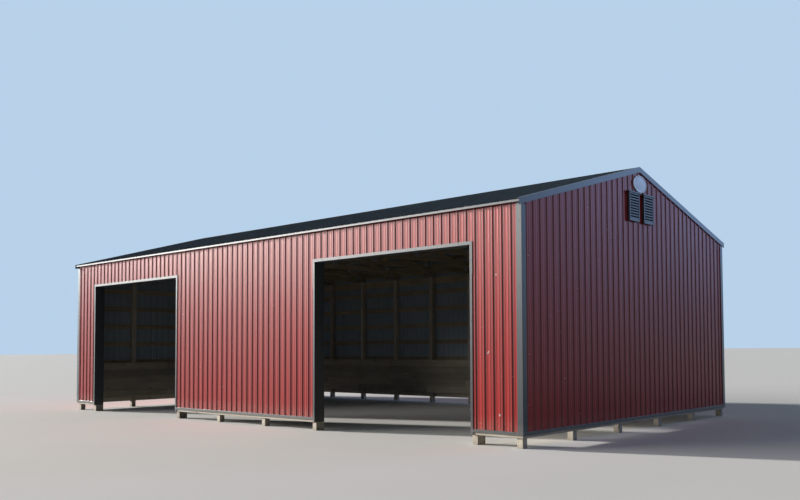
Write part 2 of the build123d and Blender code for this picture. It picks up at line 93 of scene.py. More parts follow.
# A sum, a product or the like of some numbers, the first one an output
def maths(operation, *values):
    tree = values[0].id_data
    return node(tree, "ShaderNodeMath", dict(enumerate(values)), operation=operation).outputs[0]


# Two colours mixed by a number
def blend_colour(factor, first, second):
    mixing = {0: factor, 6: first, 7: second}
    return node(factor.id_data, "ShaderNodeMix", mixing, data_type="RGBA").outputs[2]


# Soft random patches
def noise(place, scale, detail=2.0, **more):
    given = {"Vector": place, "Scale": scale, "Detail": detail, **more}
    return node(place.id_data, "ShaderNodeTexNoise", given).outputs[0]


# An empty material with its shader, and the coordinates of the object that wears it
def finish(name, fixed=None):
    material = bpy.data.materials.new(name)
    material.use_nodes = True
    tree = material.node_tree
    tree.nodes.clear()
    shader = node(tree, "ShaderNodeBsdfPrincipled", fixed)
    node(tree, "ShaderNodeOutputMaterial", {"Surface": shader.outputs[0]})
    return material, shader, node(tree, "ShaderNodeTexCoord").outputs["Object"]


# Joins a colour and, where they are given, a roughness and a bump to the shader
def dress(shader, colour, roughness=None, height=None, strength=0.5, depth=0.001, **more):
    tree = shader.id_data
    feed(tree, shader.inputs["Base Color"], colour)
    if roughness is not None:
        feed(tree, shader.inputs["Roughness"], roughness)
    if height is not None:
        given = {"Strength": strength, "Distance": depth, "Height": height}
        feed(tree, shader.inputs["Normal"], node(tree, "ShaderNodeBump", given, **more).outputs[0])


# One for the rays that show the background: straight to the camera, mirrored or let through
def seen_rays(tree):
    rays = node(tree, "ShaderNodeLightPath").outputs
    seen = maths("MAXIMUM", rays["Is Camera Ray"], rays["Is Glossy Ray"])
    return maths("MAXIMUM", seen, rays["Is Transmission Ray"])


# The finished mesh of a bmesh
def take_mesh(name, mesh):
    data = bpy.data.meshes.new(name)
    mesh.to_mesh(data)
    mesh.free()
    return data


# A new object in the scene
def put_in_scene(name, data):
    made = bpy.data.objects.new(name, data)
    bpy.context.scene.collection.objects.link(made)
    return made


# The frame of three axes at a place
def axes_at(place, *axes):
    return Matrix.Translation(place) @ Matrix(axes).transposed().to_4x4()


floor_mesh = bmesh.new()
bmesh.ops.create_grid(floor_mesh, x_segments=8, y_segments=8, size=floor_reach)
studio_floor = put_in_scene("studio_floor", take_mesh("studio_floor", floor_mesh))
floor_paint, shader, place = finish("studio_floor_paint", {"Roughness": 0.9})
floor_pale = blend_colour(noise(place, 0.35, 3.0), floor_grey, floor_white)
dress(shader, blend_colour(seen_rays(shader.id_data), floor_bounce, floor_pale))
studio_floor.data.materials.append(floor_paint)

world = bpy.data.worlds.new("studio_sky")
bpy.context.scene.world = world
world.use_nodes = True
sky = world.node_tree
sky.nodes.clear()
lamp = node(sky, "ShaderNodeBackground", {"Color": sky_tint, "Strength": sky_light}).outputs[0]
backdrop = node(sky, "ShaderNodeBackground", {"Color": sky_backdrop, "Strength": 1.0}).outputs[0]
both = node(sky, "ShaderNodeMixShader", {0: seen_rays(sky), 1: lamp, 2: backdrop}).outputs[0]
node(sky, "ShaderNodeOutputWorld", {"Surface": both})

for name, shines_from, strength, degrees_wide, tint in lamps:
    lamp_data = bpy.data.lights.new(name, "SUN")
    lamp_data.energy, lamp_data.angle, lamp_data.color = strength, radians(degrees_wide), tint
    lamp_turn = Vector(shines_from).to_track_quat("Z", "Y")
    put_in_scene(name, lamp_data).rotation_euler = lamp_turn.to_euler()

ahead = Vector((
    sin(camera_yaw) * cos(camera_pitch), cos(camera_yaw) * cos(camera_pitch), sin(camera_pitch),
))
level = Vector((cos(camera_yaw), -sin(camera_yaw), 0))
above = level.cross(ahead)
right = level * cos(camera_roll) + above * sin(camera_roll)
upward = above * cos(camera_roll) - level * sin(camera_roll)
camera_data = bpy.data.cameras.new("photo_camera")
camera_data.sensor_width = sensor_width
camera_data.lens = sensor_width * lens_pixels / image_width
camera_data.shift_x = -axis_right / image_width
camera_data.shift_y = axis_down / image_width
camera_data.clip_end = 3 * floor_reach
camera = put_in_scene("photo_camera", camera_data)
camera.matrix_world = axes_at(camera_place, right, upward, -ahead)
bpy.context.scene.camera = camera
bpy.context.scene.view_settings.view_transform = "Standard"

# Posts and skirt boards: square sawn columns of treated softwood on the ground, with a plank
# nailed along their feet under the cladding. Their edges are eased, each stick has its own
# weathered tone, and mud reaches up where it nears the ground.
post_edge = 0.004
post_tones = ((0.72, 0.66, 0.56, 1), (0.57, 0.50, 0.40, 1))
knot_brown = (0.12, 0.065, 0.03, 1)
mud_height = 0.09
mud = (0.22, 0.18, 0.14, 1)
same_corner = 0.0001
flat_angle = radians(2)


# A number turned into another range, held at both ends
def spread(value, low, high, to_low, to_high):
    ranged = node(value.id_data, "ShaderNodeMapRange", {
        "Value": value, "From Min": low, "From Max": high, "To Min": to_low, "To Max": to_high,
    })
    return ranged.outputs["Result"]


# Scattered cells, told by the distance from their middles
def cells(place, scale, **more):
    given = {"Vector": place, "Scale": scale, **more}
    return node(place.id_data, "ShaderNodeTexVoronoi", given).outputs["Distance"]


# Coordinates scaled on each axis, so that a pattern runs long on one
def stretch(place, scale):
    return node(place.id_data, "ShaderNodeMapping", {"Vector": place, "Scale": scale}).outputs[0]


# A new node group with its sockets, each given as a name and a kind
def new_group(name, inputs, outputs):
    tree = bpy.data.node_groups.new(name, "ShaderNodeTree")
    for way, sockets in (("INPUT", inputs), ("OUTPUT", outputs)):
        for label, kind in sockets:
            tree.interface.new_socket(label, in_out=way, socket_type=f"NodeSocket{kind}")
    return tree, node(tree, "NodeGroupInput").outputs


# Grain and knots of one board, its length along X. Its tone also moves the pattern, so that no
# two boards share it.
def sawn_grain_group():
    tree, given = new_group(
        "sawn_grain",
        (("Vector", "Vector"), ("Tone", "Float"), ("Pale", "Color"), ("Dark", "Color")),
        (("Color", "Color"), ("Height", "Float"), ("Roughness", "Float")),
    )
    tone, pale, dark = given["Tone"], given["Pale"], given["Dark"]
    moved = node(tree, "ShaderNodeCombineXYZ", {
        "X": spread(tone, 0, 1, 0, 37),
        "Y": spread(tone, 0, 1, 5, 23),
        "Z": spread(tone, 0, 1, 9, 1),
    }).outputs[0]
    added = {0: given["Vector"], 1: moved}
    own = node(tree, "ShaderNodeVectorMath", added, operation="ADD").outputs[0]
    rings = noise(stretch(own, (0.9, 26, 26)), 1.0, 5.0, Roughness=0.6, Distortion=0.6)
    fibres = noise(stretch(own, (6, 190, 190)), 1.0, 3.0)
    knots = spread(cells(stretch(own, (1.3, 8, 8)), 1.0), 0.05, 0.13, 1, 0)
    colour = blend_colour(spread(rings, 0.36, 0.64, 0, 1), pale, dark)
    colour = blend_colour(spread(fibres, 0.35, 0.7, 0, 0.35), colour, dark)
    colour = blend_colour(knots, colour, knot_brown)
    patches = spread(noise(own, 1.7, 2.0), 0.3, 0.7, 0.9, 1.06)
    shade = maths("MULTIPLY", spread(tone, 0, 1, 0.72, 1.12), patches)
    toned = node(tree, "ShaderNodeVectorMath", {0: colour, "Scale": shade}, operation="SCALE")
    node(tree, "NodeGroupOutput", {
        "Color": toned.outputs[0],
        "Height": maths("SUBTRACT", maths("ADD", rings, fibres), knots),
        "Roughness": spread(rings, 0.3, 0.7, 0.62, 0.85),
    })
    return tree


sawn_grain = sawn_grain_group()


# A timber finish in a pale and a dark tone, its grain along one axis, muddy below a height
def timber_finish(name, along, tones, mud_to=0.0):
    material, shader, place = finish(name)
    tree = shader.id_data
    parts = node(tree, "ShaderNodeSeparateXYZ", {0: place}).outputs
    order = {"X": "XYZ", "Y": "YXZ", "Z": "ZXY"}[along]
    turned = {axis: parts[other] for axis, other in zip("XYZ", order)}
    grain = node(tree, "ShaderNodeGroup", {
        "Vector": node(tree, "ShaderNodeCombineXYZ", turned).outputs[0],
        "Tone": node(tree, "ShaderNodeAttribute", attribute_name="board_tone").outputs["Fac"],
        "Pale": tones[0],
        "Dark": tones[1],
    }, node_tree=sawn_grain).outputs
    colour = grain["Color"]
    if mud_to:
        reach = spread(noise(place, 5.0, 5.0), 0.3, 0.7, 0.5 * mud_to, mud_to)
        below = maths("SUBTRACT", reach, parts["Z"])
        colour = blend_colour(spread(below, -0.03, 0.1, 0, 0.6), colour, mud)
    dress(shader, colour, grain["Roughness"], grain["Height"], 0.35, 0.002)
    return material


# A new piece of the building from a bmesh, riding on the building and finished
def piece(name, mesh, materials, slot, *stands_for):
    made = put_in_scene(name, take_mesh(name, mesh))
    for material in materials:
        made.data.materials.append(material)
    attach(made, "root")
    if stands_for:
        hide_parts(*stands_for)


# Gives every separate stick in the mesh a tone of its own
def tone_each_board(mesh, seed):
    tone = mesh.verts.layers.float.new("board_tone")
    chance = random.Random(seed)
    seen = set()
    for start in mesh.verts:
        if start in seen:
            continue
        value = chance.random()
        reached = [start]
        while reached:
            corner = reached.pop()
            if corner not in seen:
                seen.add(corner)
                corner[tone] = value
                reached += [edge.other_vert(corner) for edge in corner.link_edges]


# Cuts a small flat or a round along some edges
def ease_edges(mesh, edges, width, segments=1):
    bmesh.ops.bevel(
        mesh, geom=edges, offset=width, segments=segments,
        profile=0.5, affect="EDGES", material=-1,
    )


# The sticks of some CAD nodes with eased edges, one piece for each node
def eased_timbers(names, material, slot, first_seed, edge):
    for seed, name in enumerate(names, first_seed):
        mesh = bmesh.new()
        mesh.from_mesh(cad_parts[name].data)
        bmesh.ops.remove_doubles(mesh, verts=mesh.verts, dist=same_corner)
        bmesh.ops.dissolve_limit(
            mesh, angle_limit=flat_angle, verts=mesh.verts, edges=mesh.edges,
        )
        ease_edges(mesh, mesh.edges[:], edge)
        tone_each_board(mesh, seed)
        piece(f"{name}_timber", mesh, [material], slot, name)


for name, along, seed, nodes in (
    ("treated_posts", "Z", 0, (
        "corner_posts", "door_posts", "front_posts", "back_posts",
        "left_gable_posts", "right_gable_posts",
    )),
    ("treated_long_boards", "X", 10, ("long_skirt_boards",)),
    ("treated_cross_boards", "Y", 11, ("gable_skirt_boards",)),
):
    treated = timber_finish(name, along, post_tones, mud_height)
    eased_timbers(nodes, treated, "treated_timber", seed, post_edge)

# Girts, carriers, trusses and purlins: dry sawn softwood, yellower than the posts. The girts
# lie flat on the outer faces of the posts, the carriers clasp the post heads, and the trusses
# stand on the carriers under the purlins.
framing_tones = ((0.52, 0.43, 0.30, 1), (0.36, 0.28, 0.18, 1))
framing_edge = 0.003
for name, along, seed, nodes in (
    ("framing_along_the_ridge", "X", 20, (
        "front_girts", "back_girts", "front_carriers", "back_carriers",
        "door_head_boards", "front_purlins", "back_purlins", "eave_boards",
    )),
    ("framing_across_the_span", "Y", 30, (
        "left_gable_girts", "right_gable_girts", "truss_bottom_chords",
        "front_top_chords", "back_top_chords", "truss_diagonals",
    )),
    ("framing_uprights", "Z", 40, ("truss_uprights",)),
):
    framing = timber_finish(name, along, framing_tones)
    eased_timbers(nodes, framing, "framing_timber", seed, framing_edge)

# Lining: five courses of planks nailed to the inner faces of the posts, so that animals don't
# reach the steel. The planks come in mill lengths, butt at posts, and have eased edges.
course = 0.235
courses = 5
plank_gap = 0.004
plank_edge = 0.005
plank_length = 3.6576
shortest_plank = 0.4
lining_tones = ((0.55, 0.50, 0.42, 1), (0.41, 0.36, 0.28, 1))


# One sawn block between two corners, added to a mesh
def add_block(mesh, low, high):
    size = Vector(high) - Vector(low)
    place = Matrix.Translation((Vector(high) + Vector(low)) / 2) @ Matrix.Diagonal((*size, 1))
    return bmesh.ops.create_cube(mesh, size=1.0, matrix=place)["verts"]


# Plank ends along a wall, the first one a random part of a mill length
def plank_ends(start, end, chance):
    ends = [start]
    step = plank_length * chance.choice((0.5, 1.0, 0.75))
    while ends[-1] + step < end - shortest_plank:
        ends.append(ends[-1] + step)
        step = plank_length
    return ends + [end]


# Spans of a node's separate solids along an axis, read from the frame
def solid_spans(name, axis):
    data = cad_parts[name].data
    values = sorted({round(corner.co[axis], 4) for corner in data.vertices})
    return list(zip(values[::2], values[1::2]))


# A point of a wall that runs along an axis, by its place along the wall, across it and up
def wall_point(axis, along, across, up):
    return Vector((across, along, up) if axis else (along, across, up))


# The planks of one wall's lining, course by course
def lining(name, axis, material, seed):
    low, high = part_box(name)
    mesh = bmesh.new()
    chance = random.Random(seed)
    one_face, other_face = low[1 - axis], high[1 - axis]
    for start, end in solid_spans(name, axis):
        for number in range(courses):
            ends = plank_ends(start, end, chance)
            bottom = low.z + number * course + plank_gap / 2
            top = bottom + course - plank_gap
            for first, last in zip(ends, ends[1:]):
                near = wall_point(axis, first + plank_gap / 2, one_face, bottom)
                far = wall_point(axis, last - plank_gap / 2, other_face, top)
                add_block(mesh, near, far)
    ease_edges(mesh, mesh.edges[:], plank_edge)
    tone_each_board(mesh, seed)
    piece(f"{name}_planks", mesh, [material], "lining_timber", name)


long_lining = timber_finish("lining_long_planks", "X", lining_tones)
cross_lining = timber_finish("lining_cross_planks", "Y", lining_tones)
lining("front_lining", 0, long_lining, 51)
lining("back_lining", 0, long_lining, 52)
lining("left_gable_lining", 1, cross_lining, 53)
lining("right_gable_lining", 1, cross_lining, 54)

# Wall cladding: roll-formed steel sheets with a red baked coat outside and a pale primer
# inside. Tall ribs stand nine inches apart with two low ribs between, and each sheet laps the
# next on a rib every yard. Hex screws with rubber-faced washers hold it at every girt.
rib_pitch = 0.2286
rib_height = 0.019
rib_base = 0.064
rib_crest = 0.022
low_rib_height = 0.0035
low_rib_base = 0.030
low_rib_crest = 0.012
first_rib = 0.050
# How far before a rib's foot the painted shade begins
shade_reach = 0.012
lap_every = 4
lap_lip = 0.014
lap_step = 0.0012
lap_edge = 0.001
# How far past a lap's edge the painted shade fades out
lap_shade = 0.006
steel = 0.0007
seat_gap = 0.0003
pan = -rib_height - seat_gap
inner_facing = -0.25
screw_aside = 0.044
screw_rows = (0.385, 0.955, 1.555, 2.155, 2.755, 3.355, 3.955)
carrier_rows = (4.11, 4.40, 4.62)
gable_rows = (4.555, 5.155, 5.60)
screw_row_ends = 0.02
screw_end_margin = 0.13
# Coats of paint, each as its clean, its worn and its streaked colour
red_coat = ((0.50, 0.022, 0.018, 1), (0.43, 0.020, 0.018, 1), (0.30, 0.022, 0.020, 1))
red_paint = ((0.42, 0.035, 0.03, 1), (0.34, 0.03, 0.03, 1), (0.30, 0.20, 0.16, 1))
primer = ((0.33, 0.40, 0.46, 1), (0.27, 0.33, 0.38, 1), (0.42, 0.46, 0.50, 1))
dust = (0.36, 0.29, 0.22, 1)
# Near-black colour painted into the rib feet and lap edges as shade
grime = (0.05, 0.035, 0.03, 1)
scratch = (0.62, 0.60, 0.58, 1)
rubber_black = (0.02, 0.02, 0.02, 1)
rubber_grey = (0.05, 0.048, 0.045, 1)
dust_height = 0.62
# The scuffs on the front wall by the near corner: centre, half sizes and tilt
scuffs = (
    ((8.393, -4.562, 1.829), (0.020, 0.06, 0.046), radians(35)),
    ((8.608, -4.562, 3.345), (0.016, 0.06, 0.026), 0.0),
    ((8.677, -4.562, 0.617), (0.026, 0.06, 0.030), radians(10)),
)
roof_slope = 3.5 / 12
roof_angle = atan(roof_slope)
wall_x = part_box("right_gable_siding")[1].x
wall_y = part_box("back_siding")[1].y
length = 2 * wall_x
width = 2 * wall_y
ridge_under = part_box("left_gable_siding")[1].z
out_of_sheet = Vector((0, 1, 0))


# Profile of the sheet's outer face: place along the wall, depth from the crests, and how near
# a tall rib's foot it lies, where painted shade darkens the coat
def rib_profile(run, start):
    points = [(-rib_pitch, pan, 0)]
    for number in range(floor((run - start) / rib_pitch) + 2):
        middle = start + number * rib_pitch
        lapped = number % lap_every == 0
        foot = pan + lap_step if lapped else pan
        points += [
            (middle - rib_base / 2 - shade_reach, pan, 0.15),
            (middle - rib_base / 2, pan, 1),
            (middle - rib_crest / 2, -seat_gap, 0),
            (middle + rib_crest / 2, -seat_gap, 0),
            (middle + rib_base / 2, foot, 1),
        ]
        if lapped:
            points += [
                (middle + rib_base / 2 + lap_lip, foot, 0.3),
                (middle + rib_base / 2 + lap_lip + lap_edge, pan, 1),
                (middle + rib_base / 2 + lap_lip + lap_shade, pan, 0),
            ]
        for third in (1, 2):
            low = middle + third * rib_pitch / 3
            points += [
                (low - low_rib_base / 2, pan, 0),
                (low - low_rib_crest / 2, pan + low_rib_height, 0),
                (low + low_rib_crest / 2, pan + low_rib_height, 0),
                (low + low_rib_base / 2, pan, 0),
            ]
    return points


# Draws a row of corners out along Z into an open skin
def draw_skin(mesh, corners, rise):
    rows = [mesh.edges.new(pair) for pair in zip(corners, corners[1:])]
    drawn = bmesh.ops.extrude_edge_only(mesh, edges=rows)["geom"]
    moved = [item for item in drawn if isinstance(item, bmesh.types.BMVert)]
    bmesh.ops.translate(mesh, verts=moved, vec=(0, 0, rise))


# Cuts a mesh by a plane and drops what lies in front of it
def trim_mesh(mesh, point, outward):
    everything = mesh.verts[:] + mesh.edges[:] + mesh.faces[:]
    bmesh.ops.bisect_plane(
        mesh, geom=everything, dist=0.00001, plane_co=point, plane_no=outward, clear_outer=True,
    )


# Ribbed sheet in the wall's own axes: X along, Y outwards from the crests, Z along the ribs
def ribbed_mesh(run, start, keep, low, high):
    mesh = bmesh.new()
    foot_layer = mesh.verts.layers.float.new("rib_foot")
    corners = []
    for along, depth, foot in rib_profile(run, start):
        corners.append(mesh.verts.new((along, depth, low)))
        corners[-1][foot_layer] = foot
    draw_skin(mesh, corners, high - low)
    trim_mesh(mesh, (keep[0], 0, 0), (-1, 0, 0))
    trim_mesh(mesh, (keep[1], 0, 0), (1, 0, 0))
    return mesh


# Turns an open skin so that it faces outwards on the whole, then gives it thickness inwards
def thicken_sheet(mesh, outward):
    mesh.normal_update()
    if sum(face.normal.dot(outward) * face.calc_area() for face in mesh.faces) < 0:
        bmesh.ops.reverse_faces(mesh, faces=mesh.faces)
    bmesh.ops.solidify(mesh, geom=mesh.faces[:], thickness=steel)
    mesh.normal_update()


# Thickens a ribbed sheet, marks its inner side for the primer and stands it in its place
def stand_sheet(mesh, stand):
    thicken_sheet(mesh, out_of_sheet)
    for face in mesh.faces:
        face.material_index = 1 if face.normal.y < inner_facing else 0
    bmesh.ops.transform(mesh, matrix=stand, verts=mesh.verts)


# Streaks along the ribs, dust near the ground, slow fading and the waves of a thin sheet
def sheet_weather_group():
    tree, given = new_group(
        "sheet_weather",
        (("Vector", "Vector"), ("Dust height", "Float")),
        [(name, "Float") for name in ("Streaks", "Dust", "Fade", "Scratches", "Height")],
    )
    place = given["Vector"]
    parts = node(tree, "ShaderNodeSeparateXYZ", {0: place}).outputs
    streaks = noise(stretch(place, (9, 9, 0.35)), 1.0, 5.0, Roughness=0.65)
    over = maths("SUBTRACT", given["Dust height"], parts["Z"])
    specks = spread(noise(place, 14.0, 6.0), 0.35, 0.7, 0.3, 1)
    slanted = node(tree, "ShaderNodeMapping", {
        "Vector": place, "Rotation": (0.7, 0.5, 0.2), "Scale": (3, 3, 26),
    }).outputs[0]
    marks = spread(cells(slanted, 1.0), 0.07, 0.1, 1, 0)
    rare = spread(noise(place, 1.9, 0.0), 0.69, 0.70, 0, 1)
    waves = noise(stretch(place, (2.6, 2.6, 0.5)), 1.0, 1.0)
    waves = maths("MULTIPLY", waves, 6.0)
    node(tree, "NodeGroupOutput", {
        "Streaks": spread(streaks, 0.42, 0.72, 0, 1),
        "Dust": maths("MULTIPLY", spread(over, 0.0, 0.35, 0, 1), specks),
        "Fade": spread(noise(place, 0.5, 3.0), 0.15, 0.85, 0, 1),
        "Scratches": maths("MULTIPLY", marks, rare),
        "Height": maths("MULTIPLY_ADD", noise(place, 240.0, 1.0), 0.03, waves),
    })
    return tree


sheet_weather = sheet_weather_group()


# A baked coat on steel sheet: two shades of the colour, streaks down the ribs, painted shade at
# their feet and beside the laps, dust low down, a few scratches and scuffs, and the slight waves of
# the sheet. Roughness keeps clear of 0.27, which left hard edges in the sheen.
def coated_steel(name, coat, roughness, **more):
    clean, worn, streaked = coat
    material, shader, place = finish(name, {"Specular IOR Level": more.get("gloss", 0.5)})
    tree = shader.id_data
    weather = node(tree, "ShaderNodeGroup", {
        "Vector": place, "Dust height": more.get("dust_height", 0.0),
    }, node_tree=sheet_weather).outputs
    streak = spread(weather["Streaks"], 0, 1, 0, more.get("streaks", 0.25))
    foot = node(tree, "ShaderNodeAttribute", attribute_name="rib_foot").outputs["Fac"]
    # Painted shade: darker at the feet of the tall ribs and beside the laps
    shaded_feet = spread(foot, 0.0, 1.0, 0, more.get("foot_grime", 0.0))
    dirty = spread(weather["Dust"], 0, 1, 0, 0.28)
    scratched = spread(weather["Scratches"], 0, 1, 0, more.get("scratches", 0.0))
    for centre, half_sizes, tilt in more.get("scuffs", ()):
        spot = node(tree, "ShaderNodeMapping", {
            "Vector": place, "Location": centre, "Rotation": (0, tilt, 0), "Scale": half_sizes,
        }, vector_type="TEXTURE").outputs[0]
        away = node(tree, "ShaderNodeVectorMath", {0: spot}, operation="LENGTH").outputs["Value"]
        scratched = maths("MAXIMUM", scratched, spread(away, 0.6, 1.0, 0.9, 0))
    colour = blend_colour(weather["Fade"], clean, worn)
    for amount, cover in ((streak, streaked), (shaded_feet, grime), (dirty, dust), (scratched, scratch)):
        colour = blend_colour(amount, colour, cover)
    dusty = spread(weather["Dust"], 0, 1, roughness, roughness + 0.2)
    rough = maths("ADD", dusty, spread(weather["Fade"], 0, 1, -0.02, 0.02))
    dress(shader, colour, rough, weather["Height"], 0.5, 0.0003)
    return material


# Painted shade darkens the red coat strongly at every rib foot and lap edge
red_steel = coated_steel(
    "red_steel", red_coat, 0.30,
    gloss=0.36, dust_height=dust_height, foot_grime=0.9, scratches=0.8, scuffs=scuffs,
)
primed_steel = coated_steel("primed_steel", primer, 0.45, streaks=0.3, foot_grime=0.2)


# A small head of turned steps stacked along Z, each given as its sides, its radius at foot and
# top, where it starts and ends, and which finish it wears
def turned_head(name, steps):
    mesh = bmesh.new()
    for sides, wide, narrow, foot, top, finish_number in steps:
        made = bmesh.ops.create_cone(
            mesh, cap_ends=True, cap_tris=False, segments=sides, radius1=wide, radius2=narrow,
            depth=top - foot, matrix=Matrix.Translation((0, 0, (foot + top) / 2)),
        )
        for face in {face for corner in made["verts"] for face in corner.link_faces}:
            face.material_index = finish_number
    return take_mesh(name, mesh)


# A spot on a sheet or a strip and the way it faces, turned into the building's axes
def facing_spot(stand, spot, outward=out_of_sheet):
    return stand @ Vector(spot), stand.to_3x3() @ Vector(outward)


# Copies of a small part, each at a spot and facing outwards, as one piece
def set_copies(name, template, spots, materials, slot):
    mesh = bmesh.new()
    chance = random.Random(name)
    for place, outward in spots:
        stand = Vector(outward).to_track_quat("Z", "Y").to_matrix().to_4x4()
        turn = Matrix.Rotation(chance.uniform(0, pi), 4, "Z")
        copy = template.copy()
        copy.transform(Matrix.Translation(place) @ stand @ turn)
        mesh.from_mesh(copy)
        bpy.data.meshes.remove(copy)
    piece(name, mesh, materials, slot)


# Screws on their rubber-faced washers, as one piece
def set_screws(name, spots, paint, slot):
    set_copies(name, screw, spots, [paint, rubber], slot)


rubber, shader, place = finish("washer_rubber", {"Specular IOR Level": 0.3})
mottle = noise(place, 300.0)
colour = blend_colour(mottle, rubber_black, rubber_grey)
dress(shader, colour, spread(mottle, 0.3, 0.7, 0.6, 0.85))
red_screw_paint = coated_steel("red_screw_paint", red_paint, 0.3, streaks=0.5)
# A hex head on a washer with a rubber ring under it
screw = turned_head("screw", (
    (8, 0.0082, 0.0080, 0.0000, 0.0012, 1),
    (8, 0.0074, 0.0056, 0.0012, 0.0024, 0),
    (6, 0.0047, 0.0042, 0.0024, 0.0056, 0),
))

# Frames of the walls: the first corner, the way along the wall, the way out and the way up
upright = (0, 0, 1)
front_wall = axes_at((wall_x, -wall_y, 0), (-1, 0, 0), (0, -1, 0), upright)
left_wall = axes_at((-wall_x, -wall_y, 0), (0, 1, 0), (-1, 0, 0), upright)
back_wall = axes_at((-wall_x, wall_y, 0), (1, 0, 0), (0, 1, 0), upright)
right_wall = axes_at((wall_x, wall_y, 0), (0, -1, 0), (1, 0, 0), upright)


# The sheets of one CAD wall node, cut to its ends and, on a gable, to the roof slopes
def wall_sheets(name, wall, run, rows, gable=False):
    low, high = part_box(name)
    into_wall = wall.inverted()
    ends = sorted(((into_wall @ low).x, (into_wall @ high).x))
    mesh = ribbed_mesh(run, first_rib, ends, low.z, high.z)
    if gable:
        for side in (-1, 1):
            slope = (side * sin(roof_angle), 0, cos(roof_angle))
            trim_mesh(mesh, (run / 2, 0, ridge_under), slope)
    stand_sheet(mesh, wall)
    piece(f"{name}_sheets", mesh, [red_steel, primed_steel], "red_siding", name)
    spots = []
    for number in range(floor(run / rib_pitch) + 1):
        along = first_rib + number * rib_pitch + screw_aside
        if not ends[0] + screw_end_margin < along < ends[1] - screw_row_ends:
            continue
        roof_over = high.z
        if gable:
            roof_over = ridge_under - abs(along - run / 2) * roof_slope - screw_end_margin
        for row in rows:
            if low.z + screw_row_ends < row < roof_over - screw_row_ends:
                spots.append(facing_spot(wall, (along, pan, row)))
    set_screws(f"{name}_screws", spots, red_screw_paint, "red_siding")


for part in ("left", "over_left_door", "middle", "over_right_door", "right"):
    wall_sheets(f"front_siding_{part}", front_wall, length, screw_rows + carrier_rows)
wall_sheets("back_siding", back_wall, length, screw_rows + carrier_rows[1:])
wall_sheets("left_gable_siding", left_wall, width, screw_rows + gable_rows, gable=True)
wall_sheets("right_gable_siding", right_wall, width, screw_rows + gable_rows, gable=True)

# Roofing: the same ribbed sheets in a dark charcoal coat, laid from the ridge to the eaves
# over the purlins, lapped on a rib every yard and screwed beside each rib at every purlin.
roof_coat = ((0.020, 0.027, 0.034, 1), (0.032, 0.040, 0.048, 1), (0.07, 0.075, 0.08, 1))
screw_rust = (0.2, 0.16, 0.13, 1)
purlin_rows = 8
purlin_first = 0.089
purlin_spacing = 0.610
eave_overhang = 0.083
sheet_depth = rib_height + 0.001
roof_low, roof_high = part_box("front_roof_sheet")
roof_run = roof_high.x - roof_low.x
roof_edge = roof_run / 2 - wall_x
slope_length = (wall_y + eave_overhang) / cos(roof_angle) - seat_gap
ridge_line = Vector((0, 0, ridge_under))
roof_screw_coat = (*roof_coat[1:], screw_rust)
roof_steel = coated_steel("roof_steel", roof_coat, 0.55, gloss=0.12, streaks=0.35, foot_grime=0.3)
roof_screw_paint = coated_steel("roof_screw_paint", roof_screw_coat, 0.35, streaks=0.5)


# Frame of a roof slope: X along the ridge, Y out of the sheet, Z down the slope
def slope_frame(side, along):
    out = (0, side * sin(roof_angle), cos(roof_angle))
    down = (0, side * cos(roof_angle), -sin(roof_angle))
    return axes_at(ridge_line, (along, 0, 0), out, down)


for name, side in (("front", -1), ("back", 1)):
    slope = slope_frame(side, -side) @ Matrix.Translation((-roof_run / 2, sheet_depth, 0))
    mesh = ribbed_mesh(roof_run, roof_edge, (0, roof_run), 0.0, slope_length)
    stand_sheet(mesh, slope)
    coats = [roof_steel, primed_steel]
    piece(f"{name}_roof_sheets", mesh, coats, "charcoal_roofing", f"{name}_roof_sheet")
    spots = [
        facing_spot(slope, (
            roof_edge + number * rib_pitch + screw_aside, pan, purlin_first + row * purlin_spacing,
        ))
        for number in range(floor(roof_run / rib_pitch))
        for row in range(purlin_rows)
    ]
    set_screws(f"{name}_roof_screws", spots, roof_screw_paint, "charcoal_roofing")

# Corner trims: strips of charcoal steel bent on a brake to a right angle, their outer edges
# folded under in a hem. They stand over the last ribs of two walls and are screwed to them.
trim_coat = ((0.036, 0.044, 0.052, 1), (0.052, 0.060, 0.067, 1), (0.11, 0.11, 0.11, 1))
trim_dust_height = 0.5
trim_face = 0.001
bend_radius = 0.0025
hem_width = 0.012
hem_fold = 0.0022
stock_length = 3.05
stock_lap = 0.05
lap_tuck = 0.0008
corner_leg = 0.135
base_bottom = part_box("base_trims")[0].z
eave_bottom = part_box("eave_trims")[0].z
rake_face = 0.125
rake_bottom = sheet_depth + trim_face - rake_face
gable_leg_top = ridge_under - (wall_y + trim_face) * roof_slope + rake_bottom / cos(roof_angle)
trim_screw_every = 0.6
trim_screw_coat = (*trim_coat[1:], screw_rust)
trim_steel = coated_steel("trim_steel", trim_coat, 0.32, gloss=0.6, dust_height=trim_dust_height)
trim_screw_paint = coated_steel("trim_screw_paint", trim_screw_coat, 0.3, streaks=0.5)


# Adds a small bmesh to a larger one
def add_mesh(total, part):
    data = take_mesh("part", part)
    total.from_mesh(data)
    bpy.data.meshes.remove(data)


# A strip of steel: the profile is its outer face, its bends are rounded, it is cut by planes
# where they are given, and its thickness goes inwards
def bent_strip(total, profile, start, end, place, outside, cuts=()):
    strip = bmesh.new()
    draw_skin(strip, [strip.verts.new((*point, start)) for point in profile], end - start)
    narrow = 3 * bend_radius * (end - start)
    wide = [face for face in strip.faces if face.calc_area() > narrow]
    bends = [
        edge for edge in strip.edges if len([face for face in edge.link_faces if face in wide]) == 2
    ]
    if bends:
        ease_edges(strip, bends, bend_radius, segments=2)
    bmesh.ops.transform(strip, matrix=place, verts=strip.verts)
    for point, outward in cuts:
        trim_mesh(strip, point, outward)
    thicken_sheet(strip, place.to_3x3() @ Vector((*outside, 0)))
    add_mesh(total, strip)


